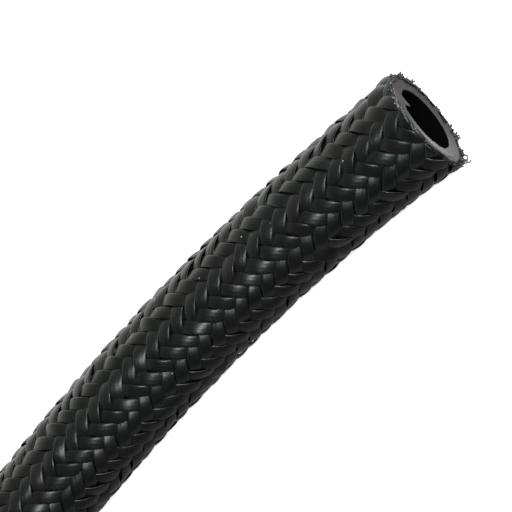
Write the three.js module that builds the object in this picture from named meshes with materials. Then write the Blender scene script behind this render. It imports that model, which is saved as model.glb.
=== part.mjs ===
// A one foot cut length of nylon braided rubber hose, lying flat in the gentle arc that its coil left in it.
// Millimetres, +Z up. The origin is under the middle of the bounding box, on the surface that the hose lies on.

import * as THREE from 'three';

// Driving dimensions
const HOSE_LENGTH = 304.8; // along the centre line: one foot, as such hose is sold
const BEND_RADIUS = 250; // of the centre line, the set left by the coil
const BORE_DIAMETER = 11.1;
const TUBE_WALL = 1.95; // of the rubber tube
const BRAID_CLEARANCE = 0.3; // radial, between the tube and the sleeve around it
const BRAID_WALL = 0.8; // two crossed layers of flat nylon yarn, pressed together

// Fineness of the faceted tubes
const SECTION_SIDES = 32; // a multiple of 4, so that the hose lies on a flat facet
const LENGTH_STEPS = 36; // even, so that one section stands at the top of the arc

// Sizes that follow from the driving dimensions
const tubeInnerRadius = BORE_DIAMETER / 2;
const tubeOuterRadius = tubeInnerRadius + TUBE_WALL;
const braidInnerRadius = tubeOuterRadius + BRAID_CLEARANCE;
const braidOuterRadius = braidInnerRadius + BRAID_WALL;
const arcAngle = HOSE_LENGTH / BEND_RADIUS;

const rubber = new THREE.MeshStandardMaterial({ color: 0x4e4b4c, roughness: 0.75, metalness: 0 });
const nylon = new THREE.MeshStandardMaterial({ color: 0x161817, roughness: 0.5, metalness: 0 });

// The centre line is an arc in a level plane, even about the Y axis, with its bulge towards +Y.
class HoseArc extends THREE.Curve {
  constructor(radius, angle, height) {
    super();
    this.radius = radius;
    this.angle = angle;
    this.height = height;
  }

  turnAt(t) {
    return (t - 0.5) * this.angle;
  }

  getPoint(t, target = new THREE.Vector3()) {
    const turn = this.turnAt(t);
    return target.set(this.radius * Math.sin(turn), this.radius * Math.cos(turn), this.height);
  }

  getTangent(t, target = new THREE.Vector3()) {
    const turn = this.turnAt(t);
    return target.set(Math.cos(turn), -Math.sin(turn), 0);
  }
}

// A regular polygon with flats facing along its own axes; the radius is measured to the flats.
function polygonPoints(flatRadius) {
  const cornerRadius = flatRadius / Math.cos(Math.PI / SECTION_SIDES);
  const points = [];
  for (let side = 0; side < SECTION_SIDES; side++) {
    const angle = ((side + 0.5) * 2 * Math.PI) / SECTION_SIDES;
    points.push(new THREE.Vector2(cornerRadius * Math.cos(angle), cornerRadius * Math.sin(angle)));
  }
  return points;
}

// A hollow round section drawn along the centre line, with both ends cut square to it.
function tubeAlong(curve, innerRadius, outerRadius) {
  const section = new THREE.Shape(polygonPoints(outerRadius));
  section.holes.push(new THREE.Path(polygonPoints(innerRadius)));
  return new THREE.ExtrudeGeometry(section, { steps: LENGTH_STEPS, extrudePath: curve });
}

// The middle of the arc's depth in Y, from the inner corner of a cut end to the top of the bulge.
function middleOfDepth() {
  const farSide = BEND_RADIUS + braidOuterRadius;
  const nearSide = (BEND_RADIUS - braidOuterRadius) * Math.cos(arcAngle / 2);
  return (farSide + nearSide) / 2;
}

const centreLine = new HoseArc(BEND_RADIUS, arcAngle, braidOuterRadius);

// The inner tube of extruded rubber that carries the fluid, with an open bore from end to end.
function rubberTube() {
  const mesh = new THREE.Mesh(tubeAlong(centreLine, tubeInnerRadius, tubeOuterRadius), rubber);
  mesh.name = 'rubber_tube';
  return mesh;
}

// The woven nylon sleeve that covers the tube, ending flush with it at both cuts.
function nylonBraid() {
  const mesh = new THREE.Mesh(tubeAlong(centreLine, braidInnerRadius, braidOuterRadius), nylon);
  mesh.name = 'nylon_braid';
  return mesh;
}

const hose = new THREE.Group();
hose.add(rubberTube());
hose.add(nylonBraid());
hose.position.y = -middleOfDepth();

export default hose;
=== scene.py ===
# The looks of a one foot cut length of nylon braided rubber hose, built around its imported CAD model.
# Metres, +Z up. The hose lies on the floor in an arc, and its right-hand cut end faces the camera.
# The near side is the inner side of the arc, towards the camera.
import math

import bpy
import numpy as np
from mathutils import Euler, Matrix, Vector


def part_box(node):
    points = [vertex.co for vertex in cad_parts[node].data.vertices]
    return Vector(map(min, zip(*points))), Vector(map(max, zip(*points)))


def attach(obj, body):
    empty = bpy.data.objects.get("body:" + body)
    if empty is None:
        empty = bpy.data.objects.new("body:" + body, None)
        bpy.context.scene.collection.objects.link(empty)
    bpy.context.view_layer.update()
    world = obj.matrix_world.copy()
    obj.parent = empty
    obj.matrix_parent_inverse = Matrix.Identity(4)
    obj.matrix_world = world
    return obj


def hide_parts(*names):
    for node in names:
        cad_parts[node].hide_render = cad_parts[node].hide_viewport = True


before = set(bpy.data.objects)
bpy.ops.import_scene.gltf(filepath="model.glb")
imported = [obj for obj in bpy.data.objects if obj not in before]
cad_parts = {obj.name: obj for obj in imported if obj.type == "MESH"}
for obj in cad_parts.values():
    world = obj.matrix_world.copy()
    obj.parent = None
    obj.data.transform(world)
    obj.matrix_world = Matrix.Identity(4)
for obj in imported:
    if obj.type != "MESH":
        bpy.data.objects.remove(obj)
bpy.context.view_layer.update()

MM = 0.001

# Driving dimensions of the hose, as in the CAD model
HOSE_LENGTH = 304.8 * MM
BEND_RADIUS = 250 * MM
BORE_RADIUS = 5.55 * MM
HOSE_RADIUS = (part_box("nylon_braid")[1][2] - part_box("nylon_braid")[0][2]) / 2

# The braid: flat strands in two hands, each strand over two and under two of the other hand
STRANDS_PER_HAND = 16
PICK = 2.967 * MM  # along the hose, from one crown to the next in a column
STRAND_LEAD = STRANDS_PER_HAND * PICK  # along the hose, for one turn of a strand
STRAND_TOP = 0.27 * MM  # from the strand's middle to its crown
STRAND_UNDERSIDE = 0.10 * MM
STRAND_WAVE = 0.39 * MM  # how far a strand rises and dips as it goes over and under
STRAND_WIDTH_SHARE = 0.985  # of the room between neighbouring strands
LEFT_HAND_START = math.radians(10.5)  # round the hose from the top, where a column of strands shows
CROWN_SHIFT = 2.70 * MM  # moves the whole pattern along the hose
STEPS_PER_CROSSING = 3.0  # rings of points on a strand, from one crossing to the next
WAVE_FLATNESS = 0.9  # above 0, the crowns are longer and the dips between them are steeper
CUT_BLEND = 6 * MM  # over this length the strands' sections turn level with the cut
ENDS_PER_STRAND = 3  # yarns laid side by side in each strand
STRANDS_PER_PIECE = 4

# How unevenly the strands lie
CUT_UNEVENNESS = 0.25 * MM
WIDTH_UNEVENNESS = 0.055
DRIFT_UNEVENNESS = 0.09 * MM
LEAN_UNEVENNESS = 0.15
LIFT_UNEVENNESS = 0.04 * MM

# The rubber tube
STRAND_SINK = 0.18 * MM  # how far the lowest strands press into the tube
TUBE_RADIUS = HOSE_RADIUS - STRAND_TOP - 2 * STRAND_WAVE - STRAND_UNDERSIDE + STRAND_SINK
TUBE_SIDES = 144
WALL_LOOPS = 110
FACE_LOOPS = 12
EDGE_ROUNDING = 0.10 * MM
FLAP_LENGTH = 1.9 * MM
FLAP_THICKNESS = 0.8 * MM
NICK_DEPTH = 0.5 * MM
BORE_RAGGEDNESS = 0.05 * MM
FACE_ROUGHNESS = 0.02 * MM

# Places on the seen cut, each as its middle and its half width in degrees round the hose from the top
FLAP_PLACE = (-1, 7.5)
# The near part of the rim, where a painted highlight pales the cut
RIM_HIGHLIGHT_PLACE = (85, 42)
# The floor side of the cut, made paler by painted light
FLOOR_SIDE_LIGHT_PLACE = (150, 45)
NICK_PLACE = (122, 3)

# How pale the cut rubber is, from 0 to 1, and how much each place adds to it. The near rim's share is a
# painted highlight, the floor side's share is painted light, and the nick's share is painted shade.
FAR_CUT_TINT = 0.2
SEEN_CUT_TINT = 0.06
# A painted highlight on the near part of the rim
RIM_HIGHLIGHT_TINT = 0.50
# Painted light on the floor side of the cut
FLOOR_SIDE_LIGHT_TINT = 0.24
FLAP_TINT = 0.08
# Painted shade in the nick
NICK_PAINTED_SHADE = -0.15
CUT_RUBBER_DARK = (0.040, 0.034, 0.037, 1)
CUT_RUBBER_PALE = (0.42, 0.41, 0.42, 1)

# How far the seen cut has let the sleeve and the rubber spread: low on the near side, and at the top
LOW_SPREAD = 0.68 * MM
LOW_SPREAD_REACH = 13 * MM
LOW_SPREAD_PLACE = (132, 40)
TOP_SPREAD = 0.50 * MM
TOP_SPREAD_MIDDLE = 1.7 * MM  # in from the cut
TOP_SPREAD_REACH = 1.5 * MM
TOP_SPREAD_PLACE = (-48, 34)

# Loose fibres at the cuts: counts, and sizes in metres
FRINGE_THREADS = 260
FRINGE_LENGTH = 0.4 * MM
FRINGE_RADIUS = 0.035 * MM
FAR_FRINGE_THREADS = 300
TUFT_THREADS = 30
TUFT_SPREAD = 5.0  # degrees to each side of the tuft's middle
TUFT_LENGTH_SHARE = 0.8
TUFT_RADIUS = 0.17 * MM
PALE_THREADS = 34
CURL_POINTS = 22

# Tufts at the seen cut, where strands have frayed most: angle from the top in degrees and length in mm
TUFTS = (
    (-18, 0.6),
    (-34, 0.6),
    (-66, 1.1),
    (-82, 1.1),
    (-95, 0.7),
    (-111, 0.4),
    (-127, 0.7),
    (-140, 0.4),
    (-153, 0.8),
    (-166, 1.2),
    (168, 0.9),
    (150, 1.0),
    (128, 0.8),
)

# Curled threads at the seen cut: the radius in mm, then points in mm out of the cut, towards the near side
# and over the floor
CURLS = (
    (
        0.16,
        (
            (-0.2, 2.6, 0.9),
            (0.5, 3.0, 0.7),
            (0.9, 3.6, 0.6),
            (0.7, 4.1, 0.5),
            (0.4, 4.5, 0.4),
            (0.7, 4.9, 0.3),
            (1.2, 4.8, 0.5),
        ),
    ),
    (0.11, ((-0.1, 3.2, 1.2), (0.3, 3.9, 0.8), (0.4, 4.5, 0.5), (0.2, 5.1, 0.4))),
)

# Specks of pale lint: distance from the seen cut in mm, angle from the top in degrees, and size in mm
LINT = (
    (33.1, 17.2, 0.10),
    (12.2, 31.1, 0.09),
    (42.9, 17.3, 0.07),
    (58.2, 5.7, 0.08),
    (57.2, 70.2, 0.09),
    (43.9, 57.5, 0.06),
    (27.8, 29.2, 0.06),
)

# The view of the photograph
CAMERA_PLACE = Vector((0.08503, -0.24127, 0.17786))
CAMERA_TURN = Euler((math.radians(38.716), math.radians(42.375), math.radians(-46.780)))
CAMERA_LENS = 127.99
SENSOR_WIDTH = 36.0

# The lamps: name, place, width and height, power and colour
LAMPS = (
    ("front", (0.10, -0.61, 0.50), (0.36, 0.12), 4.2, (0.88, 1.0, 0.97)),
    ("right", (0.62, -0.22, 0.30), (0.30, 0.30), 3.0, (1, 1, 1)),
)
LAMP_AIM = (0.12, 0.0, 0.0)


# The centre line: half of the arc's angle, and the middle of the arc's box, which stands at the origin

HALF_TURN = HOSE_LENGTH / BEND_RADIUS / 2
DEPTH_MIDDLE = ((BEND_RADIUS + HOSE_RADIUS) + (BEND_RADIUS - HOSE_RADIUS) * math.cos(HALF_TURN)) / 2


def centre_line(along):
    """Points of the centre line, with its directions away from the seen cut and towards the near side.

    along is the distance in metres from the cut end that the photograph shows.
    """
    turn = HALF_TURN - np.asarray(along) / BEND_RADIUS
    sine, cosine, level = np.sin(turn), np.cos(turn), np.zeros_like(turn)
    depth = BEND_RADIUS * cosine - DEPTH_MIDDLE
    points = np.stack([BEND_RADIUS * sine, depth, level + HOSE_RADIUS], axis=-1)
    forward = np.stack([-cosine, sine, level], axis=-1)
    inward = np.stack([-sine, -cosine, level], axis=-1)
    return points, forward, inward


def on_hose(along, around, radius):
    """Points on a round surface about the centre line; around is from the top, towards the near side."""
    points, _, inward = centre_line(along)
    around = np.asarray(around)
    side = np.sin(around)[..., None] * inward
    up = np.cos(around)[..., None] * np.array([0.0, 0.0, 1.0])
    return points + np.asarray(radius)[..., None] * (side + up)


# Mesh helpers


def new_object(name, mesh):
    obj = bpy.data.objects.new(name, mesh)
    bpy.context.scene.collection.objects.link(obj)
    return obj


def mesh_from_arrays(name, points, quads, triangles, quad_uvs=None, tints=None):
    """A mesh from arrays of points and of corner indices, with an optional uv for each quad corner."""
    mesh = bpy.data.meshes.new(name)
    corner_total = quads.size + triangles.size
    face_total = len(quads) + len(triangles)
    mesh.vertices.add(len(points))
    mesh.vertices.foreach_set("co", np.ascontiguousarray(points, dtype=np.float32).ravel())
    mesh.loops.add(corner_total)
    corners = np.concatenate([quads.ravel(), triangles.ravel()])
    mesh.loops.foreach_set("vertex_index", corners.astype(np.int32))
    mesh.polygons.add(face_total)
    starts = np.concatenate([np.arange(len(quads)) * 4, quads.size + np.arange(len(triangles)) * 3])
    mesh.polygons.foreach_set("loop_start", starts.astype(np.int32))
    mesh.polygons.foreach_set("use_smooth", np.ones(face_total, dtype=bool))
    if quad_uvs is not None:
        layer = mesh.uv_layers.new(name="lay")
        uvs = np.zeros((corner_total, 2), dtype=np.float32)
        uvs[: quads.size] = quad_uvs.reshape(-1, 2)
        layer.data.foreach_set("uv", uvs.ravel())
    if tints is not None:
        attribute = mesh.attributes.new("tint", "FLOAT", "POINT")
        attribute.data.foreach_set("value", tints.astype(np.float32))
    mesh.update(calc_edges=True)
    mesh.validate()
    return mesh


def grid_quads(rows, columns, closed):
    """Corner indices of the quads of a grid of points, rows by columns, whose columns may join up."""
    row = np.arange(rows - 1)[:, None]
    column = np.arange(columns if closed else columns - 1)[None, :]
    following = (column + 1) % columns
    near = row * columns
    far = (row + 1) * columns
    quads = np.stack([near + column, near + following, far + following, far + column], axis=-1)
    return quads.reshape(-1, 4)


def smooth_noise(samples, spacing, strength, generator):
    """Gentle random values: random knots every spacing samples, joined by smooth steps."""
    knots = generator.normal(0, strength, int(samples / spacing) + 3)
    place = np.arange(samples) / spacing
    low = place.astype(int)
    share = place - low
    share = share * share * (3 - 2 * share)
    return knots[low] * (1 - share) + knots[low + 1] * share


# Materials


def principled(name, **values):
    material = bpy.data.materials.new(name)
    material.use_nodes = True
    shader = material.node_tree.nodes["Principled BSDF"]
    for socket, value in values.items():
        shader.inputs[socket.replace("_", " ")].default_value = value
    return material, material.node_tree, shader


def add_node(tree, kind, **settings):
    node = tree.nodes.new(kind)
    for key, value in settings.items():
        setattr(node, key, value)
    return node


def nylon_material():
    """Black nylon yarn: fine filaments along the strand and a sheen across them."""
    material, tree, shader = principled(
        "nylon_yarn", Roughness=0.37, Anisotropic=0.20, Specular_IOR_Level=0.5, IOR=1.53
    )
    uv = add_node(tree, "ShaderNodeUVMap", uv_map="lay")
    stretch = add_node(tree, "ShaderNodeMapping")
    stretch.inputs["Scale"].default_value = (26.0, 1.6, 1.0)
    tree.links.new(uv.outputs["UV"], stretch.inputs["Vector"])
    filaments = add_node(tree, "ShaderNodeTexNoise", noise_dimensions="3D")
    filaments.inputs["Scale"].default_value = 1.0
    filaments.inputs["Detail"].default_value = 3.0
    tree.links.new(stretch.outputs["Vector"], filaments.inputs["Vector"])
    bump = add_node(tree, "ShaderNodeBump")
    bump.inputs["Strength"].default_value = 0.35
    bump.inputs["Distance"].default_value = 0.06 * MM
    tree.links.new(filaments.outputs["Fac"], bump.inputs["Height"])
    tree.links.new(bump.outputs["Normal"], shader.inputs["Normal"])
    tangent = add_node(tree, "ShaderNodeTangent", direction_type="UV_MAP", uv_map="lay")
    tree.links.new(tangent.outputs["Tangent"], shader.inputs["Tangent"])
    tint = add_node(tree, "ShaderNodeAttribute", attribute_name="tint")
    colours = add_node(tree, "ShaderNodeValToRGB")
    colours.color_ramp.elements[0].color = (0.0038, 0.0062, 0.0050, 1)
    colours.color_ramp.elements[1].color = (0.0080, 0.0062, 0.0070, 1)
    tree.links.new(tint.outputs["Fac"], colours.inputs["Fac"])
    tree.links.new(colours.outputs["Color"], shader.inputs["Base Color"])
    return material


def cut_rubber_material():
    """Black rubber that a knife has cut: grey, and palest where the tint attribute is highest."""
    material, tree, shader = principled("cut_rubber", Roughness=0.6, Specular_IOR_Level=0.4)
    tint = add_node(tree, "ShaderNodeAttribute", attribute_name="tint")
    grain = add_node(tree, "ShaderNodeTexNoise")
    grain.inputs["Scale"].default_value = 1400.0
    grain.inputs["Detail"].default_value = 4.0
    place = add_node(tree, "ShaderNodeNewGeometry")
    tree.links.new(place.outputs["Position"], grain.inputs["Vector"])
    grey = add_node(tree, "ShaderNodeValToRGB")
    grey.color_ramp.elements[0].color = CUT_RUBBER_DARK
    grey.color_ramp.elements[1].color = CUT_RUBBER_PALE
    tree.links.new(tint.outputs["Fac"], grey.inputs["Fac"])
    tree.links.new(grey.outputs["Color"], shader.inputs["Base Color"])
    bump = add_node(tree, "ShaderNodeBump")
    bump.inputs["Strength"].default_value = 0.6
    bump.inputs["Distance"].default_value = 0.12 * MM
    tree.links.new(grain.outputs["Fac"], bump.inputs["Height"])
    tree.links.new(bump.outputs["Normal"], shader.inputs["Normal"])
    return material


def plain_material(name, colour, roughness, specular):
    material, _, _ = principled(name, Base_Color=colour, Roughness=roughness, Specular_IOR_Level=specular)
    return material


NYLON = nylon_material()
CUT_RUBBER = cut_rubber_material()
BLACK_RUBBER = plain_material("black_rubber", (0.002, 0.002, 0.002, 1), 0.8, 0.03)
LOOSE_FIBRE = plain_material("loose_fibre", (0.085, 0.080, 0.080, 1), 0.6, 0.4)
PALE_FIBRE = plain_material("pale_fibre", (0.62, 0.60, 0.57, 1), 0.6, 0.4)


# The braid


def bump_at(around, place):
    """1 at the place's middle angle, falling smoothly to nothing within a few of its half widths."""
    middle, half_width = place
    apart = (np.degrees(around) - middle + 180) % 360 - 180
    return np.exp(-((apart / half_width) ** 2))


def cut_spread(along, around):
    """How far the sleeve and the rubber have spread near the seen cut."""
    low = LOW_SPREAD * np.exp(-along / LOW_SPREAD_REACH) * bump_at(around, LOW_SPREAD_PLACE)
    from_middle = (along - TOP_SPREAD_MIDDLE) / TOP_SPREAD_REACH
    top = TOP_SPREAD * np.exp(-(from_middle**2)) * bump_at(around, TOP_SPREAD_PLACE)
    return low + top


def strand_profile():
    """The strand's section, across and out from its middle: a pillowed top and a flat underside."""
    half = np.array([0.17, 0.33, 0.45, 0.62, 0.8, 0.92, 1.0])
    across = np.concatenate([-half[::-1], [0.0], half])
    pillow = np.clip(1 - across**2, 0, 1) ** 0.34
    groove = 0.07 * (np.cos(across * math.pi * ENDS_PER_STRAND) - 1) / 2
    top = STRAND_TOP * (pillow + groove * pillow)
    below = np.array([0.5, -0.5])
    underside = -STRAND_UNDERSIDE * np.sqrt(1 - below**2)
    return np.concatenate([across, below]), np.concatenate([top, underside])


def strand(hand, number):
    """Points, quads, uvs and tints of one strand, with its count of rings and of points in each ring; hand
    is +1 or -1.
    """
    generator = np.random.default_rng(1000 * (hand + 2) + number)
    crossings = HOSE_LENGTH / STRAND_LEAD * 2 * STRANDS_PER_HAND
    steps = int(crossings * STEPS_PER_CROSSING) + 1
    spare = generator.uniform(-1, 1, 2) * CUT_UNEVENNESS
    along = np.linspace(spare[0], HOSE_LENGTH + spare[1], steps)
    across, out = strand_profile()
    lead_angle = math.atan2(2 * math.pi * HOSE_RADIUS, STRAND_LEAD)
    room = PICK * math.sin(lead_angle)
    width = room * STRAND_WIDTH_SHARE * (1 + smooth_noise(steps, 9, WIDTH_UNEVENNESS, generator))
    drift = smooth_noise(steps, 12, DRIFT_UNEVENNESS, generator)
    lean = smooth_noise(steps, 7, LEAN_UNEVENNESS, generator)
    lift = smooth_noise(steps, 7, LIFT_UNEVENNESS, generator)

    offset = across[None, :] * width[:, None] / 2 + drift[:, None]
    # Near both cuts the section turns from square across the strand to level with the cut.
    to_cut = np.minimum(along - along[0], along[-1] - along)
    turned = np.clip(1 - to_cut / CUT_BLEND, 0, 1)[:, None]
    slant = hand * offset * math.sin(lead_angle)
    along_strand = along[:, None] + slant * turned
    around = LEFT_HAND_START + hand * 2 * math.pi * (along_strand - CROWN_SHIFT) / STRAND_LEAD
    around = around + 2 * math.pi * (number + (0.0 if hand > 0 else 0.5)) / STRANDS_PER_HAND

    # The two hands cross midway between whole numbers of this measure.
    # Each hand is over for two crossings in every four.
    crossing = (around - LEFT_HAND_START) * STRANDS_PER_HAND / math.pi
    wave = np.cos(math.pi / 2 * crossing) * -hand
    flat = np.tanh(WAVE_FLATNESS * wave) / math.tanh(WAVE_FLATNESS)
    middle_radius = HOSE_RADIUS - STRAND_TOP - STRAND_WAVE
    radius = middle_radius + STRAND_WAVE * flat + lift[:, None] + out[None, :] + lean[:, None] * offset
    around_points = around + offset * math.cos(lead_angle) / middle_radius
    radius = radius + cut_spread(along_strand - slant, around_points)
    points = on_hose(along_strand - slant, around_points, radius)
    points[..., 2] = np.maximum(points[..., 2], 0.0)  # the strands under the hose lie flat on the floor

    columns = len(across)
    quads = grid_quads(steps, columns, closed=True)
    if hand > 0:
        quads = quads[:, ::-1]
    row, column = np.divmod(quads, columns)
    seam = (column.max(axis=1) == columns - 1) & (column.min(axis=1) == 0)
    across_uv = np.where(seam[:, None] & (column == 0), columns, column) / columns
    uvs = np.stack([across_uv + number, along[row] / PICK], axis=-1)
    tints = np.full(steps * columns, generator.uniform(0, 1))
    return points.reshape(-1, 3), quads, uvs, tints, steps, columns


def end_caps(first, steps, columns):
    """Triangles that close both ends of a strand, fanned from the section's first point."""
    fan = np.arange(1, columns - 1)
    near = np.stack([np.zeros_like(fan), fan + 1, fan], axis=-1) + first
    far = np.stack([np.zeros_like(fan), fan, fan + 1], axis=-1) + first + (steps - 1) * columns
    return np.concatenate([near, far])


def braid_piece(hand, group):
    """One object that holds a few neighbouring strands of one hand."""
    points, quads, uvs, tints, caps = [], [], [], [], []
    first = 0
    for number in range(group * STRANDS_PER_PIECE, (group + 1) * STRANDS_PER_PIECE):
        strand_points, strand_quads, strand_uvs, strand_tints, steps, columns = strand(hand, number)
        points.append(strand_points)
        quads.append(strand_quads + first)
        uvs.append(strand_uvs)
        tints.append(strand_tints)
        cap = end_caps(first, steps, columns)
        caps.append(cap[:, ::-1] if hand > 0 else cap)
        first += len(strand_points)
    name = f"braid_strands_{'right' if hand > 0 else 'left'}_{group + 1}"
    mesh = mesh_from_arrays(
        name,
        np.concatenate(points),
        np.concatenate(quads),
        np.concatenate(caps),
        np.concatenate(uvs),
        np.concatenate(tints),
    )
    mesh.materials.append(NYLON)
    return new_object(name, mesh)


def make_braid():
    groups = range(STRANDS_PER_HAND // STRANDS_PER_PIECE)
    pieces = [braid_piece(hand, group) for hand in (1, -1) for group in groups]
    for piece in pieces:
        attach(piece, "root")
        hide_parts("nylon_braid")
    return pieces


# The rubber tube


def make_tube():
    """The tube's walls and its two cut faces, as one closed surface of revolution about the centre line."""
    generator = np.random.default_rng(21)
    sides = TUBE_SIDES
    around = np.arange(sides) * 2 * math.pi / sides
    rim = EDGE_ROUNDING
    # The knife has left a flap of rubber and a nick. A painted highlight pales the near part of the rim,
    # painted light pales the floor side, and painted shade darkens the nick.
    flap = np.clip(1.4 * bump_at(around, FLAP_PLACE), 0, 1)
    painted_rim_highlight = bump_at(around, RIM_HIGHLIGHT_PLACE)
    painted_floor_side_light = bump_at(around, FLOOR_SIDE_LIGHT_PLACE)
    nick = bump_at(around, NICK_PLACE)
    ragged = smooth_noise(sides, 3, BORE_RAGGEDNESS, generator)
    ragged[-3:] = ragged[0]

    loops = []
    tints = []
    cut = []

    def loop(position, radius, tint, is_cut):
        loops.append(on_hose(position + np.zeros(sides), around, radius + np.zeros(sides)))
        tints.append(tint + np.zeros(sides))
        cut.append(is_cut)

    wall = np.linspace(1.6 * MM, HOSE_LENGTH - 1.6 * MM, WALL_LOOPS)
    edges = np.array([rim, 0.3 * MM, 0.6 * MM, 1.0 * MM])
    wall = np.concatenate([edges, wall, HOSE_LENGTH - edges[::-1]])
    for position in wall:
        loop(position, TUBE_RADIUS + cut_spread(position, around), 0.0, False)
    share = np.linspace(0, 1, FACE_LOOPS)
    for outwards in share:
        radius = TUBE_RADIUS - rim + outwards * (BORE_RADIUS + 2 * rim - TUBE_RADIUS)
        loop(HOSE_LENGTH, radius, FAR_CUT_TINT + generator.normal(0, 0.02, sides), True)
    for position in wall[::-1]:
        lip = FLAP_LENGTH * np.clip(1 - position / FLAP_THICKNESS, 0, 1)
        loop(position, BORE_RADIUS - lip * flap + ragged * (position < 0.5 * MM), 0.0, False)
    for outwards in share:
        inner = BORE_RADIUS + rim - FLAP_LENGTH * flap + ragged
        outer = TUBE_RADIUS + cut_spread(0.0, around) - rim
        radius = inner + outwards * (outer - inner)
        outer_part = outwards > 0.6
        depth = np.abs(generator.normal(0, FACE_ROUGHNESS, sides)) + NICK_DEPTH * nick * outer_part
        # The cut's tint holds painted light: a highlight on the near rim and light on the floor side, then
        # painted shade in the nick
        pale = SEEN_CUT_TINT + RIM_HIGHLIGHT_TINT * painted_rim_highlight * (not outer_part) + FLOOR_SIDE_LIGHT_TINT * painted_floor_side_light + FLAP_TINT * flap
        pale = pale + generator.normal(0, 0.04, sides) + NICK_PAINTED_SHADE * nick * outer_part
        loop(depth, radius, np.clip(pale, 0.0, 1.0), True)

    points = np.concatenate(loops)
    quads = grid_quads(len(loops), sides, closed=True)
    last = (len(loops) - 1) * sides
    column = np.arange(sides)
    following = (column + 1) % sides
    closing = np.stack([last + column, last + following, following, column], axis=-1)
    quads = np.concatenate([quads, closing])[:, ::-1]
    no_triangles = np.zeros((0, 3), int)
    mesh = mesh_from_arrays("rubber_tube_cut", points, quads, no_triangles, None, np.concatenate(tints))
    mesh.materials.append(BLACK_RUBBER)
    mesh.materials.append(CUT_RUBBER)
    row_is_cut = np.array(cut)
    following_is_cut = np.roll(row_is_cut, -1)
    face_is_cut = np.repeat(row_is_cut | following_is_cut, sides)
    mesh.polygons.foreach_set("material_index", face_is_cut.astype(np.int32))
    piece = new_object("rubber_tube_cut", mesh)
    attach(piece, "root")
    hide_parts("rubber_tube")
    return piece


# Loose fibres at the cuts, and lint


def thread(points, radius):
    """A fine round thread through points, tapered at its tip: its points, quads and triangles."""
    points = np.asarray(points)
    sides = 4
    heading = np.gradient(points, axis=0)
    heading /= np.linalg.norm(heading, axis=1)[:, None] + 1e-12
    first = np.cross(heading, np.array([0.31, 0.42, 0.85]))
    first /= np.linalg.norm(first, axis=1)[:, None] + 1e-12
    second = np.cross(heading, first)
    turn = np.arange(sides) * 2 * math.pi / sides
    cosine, sine = np.cos(turn)[None, :, None], np.sin(turn)[None, :, None]
    ring = cosine * first[:, None, :] + sine * second[:, None, :]
    sizes = radius * np.linspace(1, 0.6, len(points))
    skin = points[:, None, :] + ring * sizes[:, None, None]
    quads = grid_quads(len(points), sides, closed=True)
    last = (len(points) - 1) * sides
    caps = np.array([[0, 2, 1], [0, 3, 2], [last, last + 1, last + 2], [last, last + 2, last + 3]])
    return skin.reshape(-1, 3), quads, caps


def threads_piece(name, threads, material):
    """One object of many threads, each given as its points and its radius."""
    points, quads, caps = [], [], []
    first = 0
    for path, radius in threads:
        skin, thread_quads, thread_caps = thread(path, radius)
        points.append(skin)
        quads.append(thread_quads + first)
        caps.append(thread_caps + first)
        first += len(skin)
    mesh = mesh_from_arrays(name, np.concatenate(points), np.concatenate(quads), np.concatenate(caps))
    mesh.materials.append(material)
    piece = new_object(name, mesh)
    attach(piece, "root")
    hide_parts("nylon_braid")
    return piece


def above_floor(around, radius, margin):
    """The radius, held in so that a thread of half thickness margin stays over the floor."""
    reach = (HOSE_RADIUS - margin) / np.maximum(-np.cos(around), 0.05)
    return np.where(np.cos(around) < 0, np.minimum(radius, reach), radius)


def frayed_ends(count, middle, spread, length, radius, generator, far=False):
    """Short threads that stick out of the braid's cut rim about one angle, in degrees."""
    threads = []
    for _ in range(count):
        around = math.radians(middle + generator.uniform(-1, 1) * spread)
        root_radius = generator.uniform(TUBE_RADIUS + 0.05 * MM, HOSE_RADIUS - 0.1 * MM)
        if not far:
            root_radius += cut_spread(0.0, around)
        reach = length * generator.uniform(0.3, 1.0)
        rise = reach * generator.uniform(-0.1, 0.7)
        swing = generator.normal(0, 0.03)
        share = np.linspace(0, 1, 4)
        out = -0.3 * MM + (reach * generator.uniform(0.2, 0.8) + 0.3 * MM) * share
        angles = around + swing * share**2
        radii = above_floor(angles, root_radius + rise * share**1.5, 1.2 * radius)
        along = HOSE_LENGTH + out if far else -out
        threads.append((on_hose(along, angles, radii), radius * generator.uniform(0.7, 1.2)))
    return threads


def curl(radius, knots):
    """The path and the radius of one of the curled threads, in metres."""
    end, forward, inward = centre_line(np.array([0.0]))
    knots = np.array(knots) * MM
    number = np.arange(len(knots))
    place = np.linspace(0, len(knots) - 1, CURL_POINTS)
    smooth = np.stack([np.interp(place, number, knots[:, axis]) for axis in range(3)], axis=-1)
    smooth[1:-1] = (smooth[:-2] + 2 * smooth[1:-1] + smooth[2:]) / 4
    floor_under_end = end[0] * np.array([1, 1, 0])
    path = floor_under_end - smooth[:, :1] * forward[0] + smooth[:, 1:2] * inward[0]
    path[:, 2] = smooth[:, 2]
    return path, radius * MM


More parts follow.
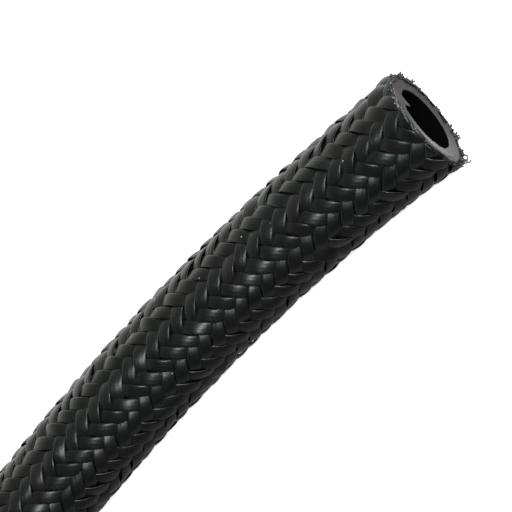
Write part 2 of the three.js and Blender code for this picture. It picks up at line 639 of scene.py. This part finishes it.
def make_fibres():
    generator = np.random.default_rng(5)
    dark = frayed_ends(FRINGE_THREADS, 0, 180, FRINGE_LENGTH, FRINGE_RADIUS, generator)
    for middle, length in TUFTS:
        reach = TUFT_LENGTH_SHARE * length * MM
        dark += frayed_ends(TUFT_THREADS, middle, TUFT_SPREAD, reach, TUFT_RADIUS, generator)
    dark += frayed_ends(FAR_FRINGE_THREADS, 0, 180, FRINGE_LENGTH, FRINGE_RADIUS, generator, far=True)
    dark += [curl(radius, knots) for radius, knots in CURLS]

    pale = []
    for _ in range(PALE_THREADS):
        around = math.radians(generator.normal(12, 18))
        root_radius = generator.uniform(TUBE_RADIUS + 0.2 * MM, HOSE_RADIUS + 0.05 * MM)
        start = generator.uniform(-0.1, 0.35) * MM
        along = np.array([start, start - generator.uniform(0.05, 0.25) * MM])
        angles = around + np.array([0, generator.normal(0, 0.015)])
        path = on_hose(along, angles, np.array([root_radius, root_radius + 0.05 * MM]))
        pale.append((path, generator.uniform(0.04, 0.085) * MM))
    for distance, degrees, size in LINT:
        along = distance * MM + np.array([-1.0, 0, 1.0]) * size * 1.3 * MM
        angles = math.radians(degrees) + np.array([0, 0.004, 0])
        path = on_hose(along, angles, np.full(3, HOSE_RADIUS - 0.02 * MM))
        pale.append((path, size * MM))
    loose_fibres = threads_piece("loose_fibres", dark, LOOSE_FIBRE)
    pale_fibres = threads_piece("pale_fibres", pale, PALE_FIBRE)
    return [loose_fibres, pale_fibres]


# Camera, floor and lights


def make_camera():
    data = bpy.data.cameras.new("photo_view")
    data.lens = CAMERA_LENS
    data.sensor_width = SENSOR_WIDTH
    data.sensor_fit = "HORIZONTAL"
    data.clip_start = 0.01
    data.clip_end = 20
    camera = new_object("photo_view", data)
    camera.location = CAMERA_PLACE
    camera.rotation_euler = CAMERA_TURN
    bpy.context.scene.camera = camera


def make_floor():
    """A pale floor that takes the hose's shadow. The world gives the light that a floor would throw back."""
    side = 3.0
    corners = np.array([(-side, -side, 0), (side, -side, 0), (side, side, 0), (-side, side, 0)])
    mesh = mesh_from_arrays("floor", corners, np.array([[0, 1, 2, 3]]), np.zeros((0, 3), int))
    material, _, _ = principled(
        "pale_floor",
        Base_Color=(0.85, 0.85, 0.85, 1),
        Roughness=0.9,
        Emission_Color=(1, 1, 1, 1),
        Emission_Strength=0.75,
    )
    mesh.materials.append(material)
    floor = new_object("floor", mesh)
    floor.visible_diffuse = False
    floor.visible_glossy = False


def area_light(name, place, size, power, colour):
    """A soft rectangular lamp that points at the seen end."""
    data = bpy.data.lights.new(name, "AREA")
    data.shape = "RECTANGLE"
    data.size = size[0]
    data.size_y = size[1]
    data.energy = power
    data.color = colour
    light = new_object(name, data)
    light.location = place
    light.rotation_euler = (Vector(LAMP_AIM) - Vector(place)).to_track_quat("-Z", "Y").to_euler()


# Light from all round, by the angle up from the horizon in front: 90 is overhead and -90 is below
SURROUNDINGS = (
    (-180, (1.700, 1.700, 1.700)),
    (-150, (0.800, 0.800, 0.800)),
    (-125, (0.340, 0.340, 0.340)),
    (-95, (0.300, 0.300, 0.300)),
    (-62, (0.300, 0.270, 0.282)),
    (-36, (0.000, 0.000, 0.000)),
    (-22, (0.020, 0.018, 0.019)),
    (-8, (0.240, 0.216, 0.226)),
    (8, (0.050, 0.050, 0.050)),
    (60, (0.020, 0.020, 0.019)),
    (85, (0.137, 0.140, 0.130)),
    (113, (0.333, 0.340, 0.316)),
    (145, (0.980, 1.000, 0.930)),
    (180, (1.700, 1.700, 1.700)),
)


def make_world():
    world = bpy.data.worlds.new("studio")
    world.use_nodes = True
    tree = world.node_tree
    background = tree.nodes["Background"]
    direction = add_node(tree, "ShaderNodeTexCoord")
    parts = add_node(tree, "ShaderNodeSeparateXYZ")
    tree.links.new(direction.outputs["Generated"], parts.inputs["Vector"])
    front = add_node(tree, "ShaderNodeMath", operation="MULTIPLY")
    front.inputs[1].default_value = -1
    tree.links.new(parts.outputs["Y"], front.inputs[0])
    angle = add_node(tree, "ShaderNodeMath", operation="ARCTAN2")
    tree.links.new(parts.outputs["Z"], angle.inputs[0])
    tree.links.new(front.outputs["Value"], angle.inputs[1])
    share = add_node(tree, "ShaderNodeMapRange")
    share.inputs["From Min"].default_value = -math.pi
    share.inputs["From Max"].default_value = math.pi
    tree.links.new(angle.outputs["Value"], share.inputs["Value"])
    ramp = add_node(tree, "ShaderNodeValToRGB")
    elements = ramp.color_ramp.elements
    for number, (degrees, colour) in enumerate(SURROUNDINGS):
        position = (degrees + 180) / 360
        element = elements[number] if number < 2 else elements.new(position)
        element.position = position
        element.color = (*colour, 1)
    tree.links.new(share.outputs["Result"], ramp.inputs["Fac"])
    tree.links.new(ramp.outputs["Color"], background.inputs["Color"])
    # Past the floor's edge the eye sees plain white.
    backdrop = add_node(tree, "ShaderNodeBackground")
    rays = add_node(tree, "ShaderNodeLightPath")
    choice = add_node(tree, "ShaderNodeMixShader")
    tree.links.new(rays.outputs["Is Camera Ray"], choice.inputs["Fac"])
    tree.links.new(background.outputs["Background"], choice.inputs[1])
    tree.links.new(backdrop.outputs["Background"], choice.inputs[2])
    tree.links.new(choice.outputs["Shader"], tree.nodes["World Output"].inputs["Surface"])
    backdrop.inputs["Color"].default_value = (1, 1, 1, 1)
    bpy.context.scene.world = world


make_camera()
tube = make_tube()
braid = make_braid()
fibres = make_fibres()
make_floor()
make_world()
for lamp in LAMPS:
    area_light(*lamp)
bpy.context.scene.view_settings.view_transform = "Standard"
